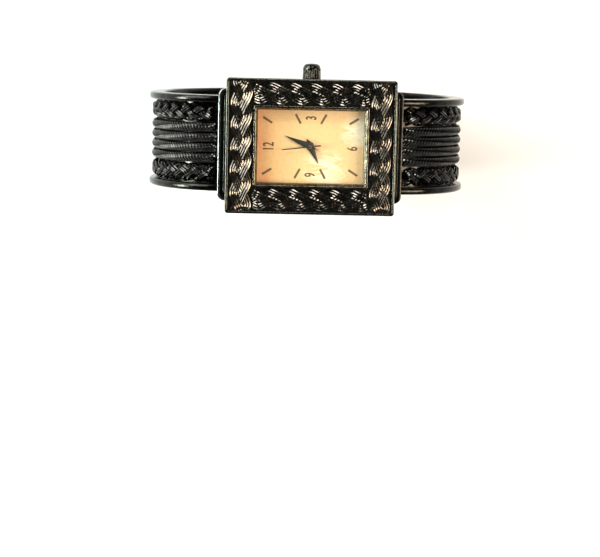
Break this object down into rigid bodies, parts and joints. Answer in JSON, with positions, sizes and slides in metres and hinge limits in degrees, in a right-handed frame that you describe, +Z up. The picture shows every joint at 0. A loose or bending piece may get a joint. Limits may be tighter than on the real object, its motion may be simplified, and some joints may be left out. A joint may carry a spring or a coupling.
{
  "type": "cuff watch",
  "caption": "Rectangular quartz watch set across the top of a spring-hinged open cuff, with a wire-braided bezel and bands of twisted rope between braids.",
  "frame": {"origin": "middle of the base of the watch as it stands on its two arm ends", "axes": "+X from the 12 to the 6 o'clock side, +Y from the 9 to the 3 o'clock side, where the crown is, +Z up, out of the dial"},
  "size_m": [0.0622, 0.0282, 0.0486],
  "materials": {
    "gunmetal": "polished",
    "gunmetal_wire": "polished",
    "hand_metal": "gloss",
    "pearl_dial": "gloss",
    "crystal_glass": "polished",
    "seal_rubber": "matte",
    "dark_ring": "satin",
    "steel": "satin",
    "bright_steel": "polished",
    "brass": "satin",
    "magnet": "satin",
    "copper_wire": "satin",
    "holder_plastic": "matte",
    "board_green": "satin",
    "chip_black": "matte"
  },
  "bodies": {
    "case": {"bezel": "gunmetal", "bezel_braid_12": "gunmetal_wire", "bezel_braid_6": "gunmetal_wire", "bezel_braid_3": "gunmetal_wire", "bezel_braid_9": "gunmetal_wire", "crystal": "crystal_glass", "crystal_gasket": "seal_rubber", "dial_ring": "dark_ring", "dial": "pearl_dial", "mid_case": "gunmetal", "case_back": "steel", "back_gasket": "seal_rubber", "crown_tube": "bright_steel", "movement_holder": "holder_plastic", "main_plate": "brass", "train_bridge": "bright_steel", "bridge_screws": "steel", "stator": "steel", "coil_core": "steel", "coil": "copper_wire", "circuit_board": "board_green", "chip": "chip_black", "quartz_can": "bright_steel", "battery": "bright_steel", "battery_clamp": "steel", "left_hinge_pin": "bright_steel", "left_hinge_spring": "bright_steel", "right_hinge_pin": "bright_steel", "right_hinge_spring": "bright_steel"},
    "seconds": {"fourth_wheel": "brass", "second_hand": "hand_metal"},
    "minutes": {"cannon_pinion": "brass", "centre_wheel": "brass", "minute_hand": "hand_metal"},
    "hours": {"hour_wheel": "brass", "hour_hand": "hand_metal"},
    "motion_work": {"minute_wheel": "brass"},
    "third": {"third_wheel": "brass"},
    "fifth": {"fifth_wheel": "brass"},
    "motor_rotor": {"rotor": "magnet"},
    "clutch": {"sliding_pinion": "bright_steel"},
    "crown_and_stem": {"crown": "gunmetal", "stem": "bright_steel", "crown_seal": "seal_rubber"},
    "lever": {"setting_lever": "bright_steel"},
    "left_cuff": {"left_arm": "gunmetal", "left_ropes": "gunmetal_wire", "left_plaits": "gunmetal_wire"},
    "right_cuff": {"right_arm": "gunmetal", "right_ropes": "gunmetal_wire", "right_plaits": "gunmetal_wire"}
  },
  "joints": [
    {"name": "second_turn", "type": "hinge", "parent": "case", "child": "seconds", "pos_m": [0, -0.00143, 0.04364], "axis": [0, 0, -1], "continuous": true},
    {"name": "minute_turn", "type": "hinge", "parent": "case", "child": "minutes", "pos_m": [0, -0.00143, 0.04414], "axis": [0, 0, -1], "continuous": true},
    {"name": "hour_turn", "type": "hinge", "parent": "case", "child": "hours", "pos_m": [0, -0.00143, 0.04554], "axis": [0, 0, -1], "continuous": true},
    {"name": "motion_work_turn", "type": "hinge", "parent": "case", "child": "motion_work", "pos_m": [0, 0.00108, 0.04494], "axis": [0, 0, -1], "continuous": true},
    {"name": "third_turn", "type": "hinge", "parent": "case", "child": "third", "pos_m": [0.00115, 0.00057, 0.04384], "axis": [0, 0, -1], "continuous": true},
    {"name": "fifth_turn", "type": "hinge", "parent": "case", "child": "fifth", "pos_m": [-0.00236, -0.00101, 0.04334], "axis": [0, 0, -1], "continuous": true},
    {"name": "rotor_turn", "type": "hinge", "parent": "case", "child": "motor_rotor", "pos_m": [-0.00414, -0.00165, 0.04334], "axis": [0, 0, -1], "continuous": true},
    {"name": "crown_turn", "type": "hinge", "parent": "case", "child": "clutch", "pos_m": [0, 0.00358, 0.04414], "axis": [0, 1, 0], "continuous": true},
    {"name": "crown_pull", "type": "slide", "parent": "clutch", "child": "crown_and_stem", "axis": [0, 1, 0], "range_m": [0, 0.0008]},
    {"name": "lever_turn", "type": "hinge", "parent": "case", "child": "lever", "pos_m": [-0.0022, 0.00517, 0.04464], "axis": [0, 0, 1], "range_deg": [0, 20.62]},
    {"name": "left_arm_hinge", "type": "hinge", "parent": "case", "child": "left_cuff", "pos_m": [-0.0165, -0.00143, 0.04219], "axis": [0, 1, 0], "range_deg": [0, 30], "stiffness_Nm_per_rad": 0.08, "springref_deg": -28.65, "deforming": ["left_hinge_spring"]},
    {"name": "right_arm_hinge", "type": "hinge", "parent": "case", "child": "right_cuff", "pos_m": [0.0165, -0.00143, 0.04219], "axis": [0, -1, 0], "range_deg": [0, 30], "stiffness_Nm_per_rad": 0.08, "springref_deg": -28.65, "deforming": ["right_hinge_spring"]}
  ],
  "couplings": [
    {"joint": "third_turn", "follows": "second_turn", "ratio": -0.13333},
    {"joint": "minute_turn", "follows": "second_turn", "ratio": 0.016667},
    {"joint": "motion_work_turn", "follows": "second_turn", "ratio": -0.0055556},
    {"joint": "hour_turn", "follows": "second_turn", "ratio": 0.0013889},
    {"joint": "fifth_turn", "follows": "second_turn", "ratio": -5},
    {"joint": "rotor_turn", "follows": "second_turn", "ratio": 30},
    {"joint": "lever_turn", "follows": "crown_pull", "rad_per_m": 449.63}
  ]
}
